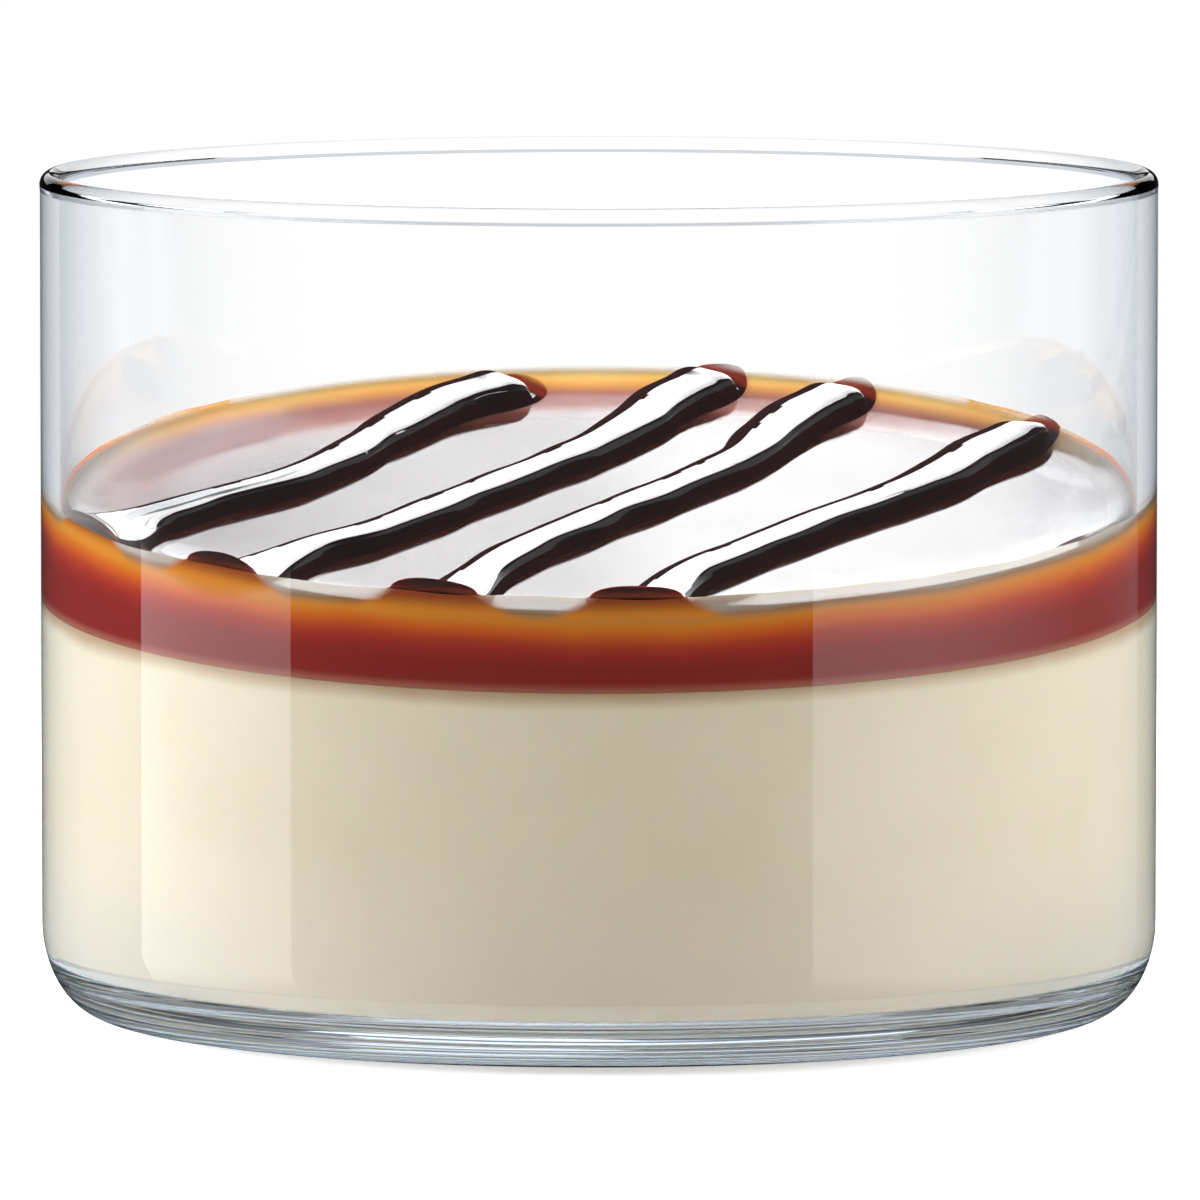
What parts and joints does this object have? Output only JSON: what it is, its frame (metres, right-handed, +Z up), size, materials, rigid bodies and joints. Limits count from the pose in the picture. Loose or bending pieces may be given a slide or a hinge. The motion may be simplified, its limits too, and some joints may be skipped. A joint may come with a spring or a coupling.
{
  "type": "rocks glass with layered dessert",
  "caption": "Low straight-walled rocks glass in clear glass, filled with a set cream dessert under a caramel layer and strips of chocolate.",
  "frame": {"origin": "middle of the standing ring, on the table", "axes": "+Z up the glass to its rim, -Y towards the viewer of the picture, which is the side that the dessert slopes down to"},
  "size_m": [0.083, 0.083, 0.0625],
  "materials": {
    "clear_glass": "clear, fire-polished",
    "ivory_cream": "soft, wet against the glass",
    "amber_caramel": "clear amber to deep red, glossy",
    "dark_chocolate": "glossy dark brown"
  },
  "bodies": {
    "root": {"glass_tumbler": "clear_glass", "cream_layer": "ivory_cream", "caramel_layer": "amber_caramel", "chocolate_strip_1": "dark_chocolate", "chocolate_strip_2": "dark_chocolate", "chocolate_strip_3": "dark_chocolate", "chocolate_strip_4": "dark_chocolate"}
  },
  "joints": []
}
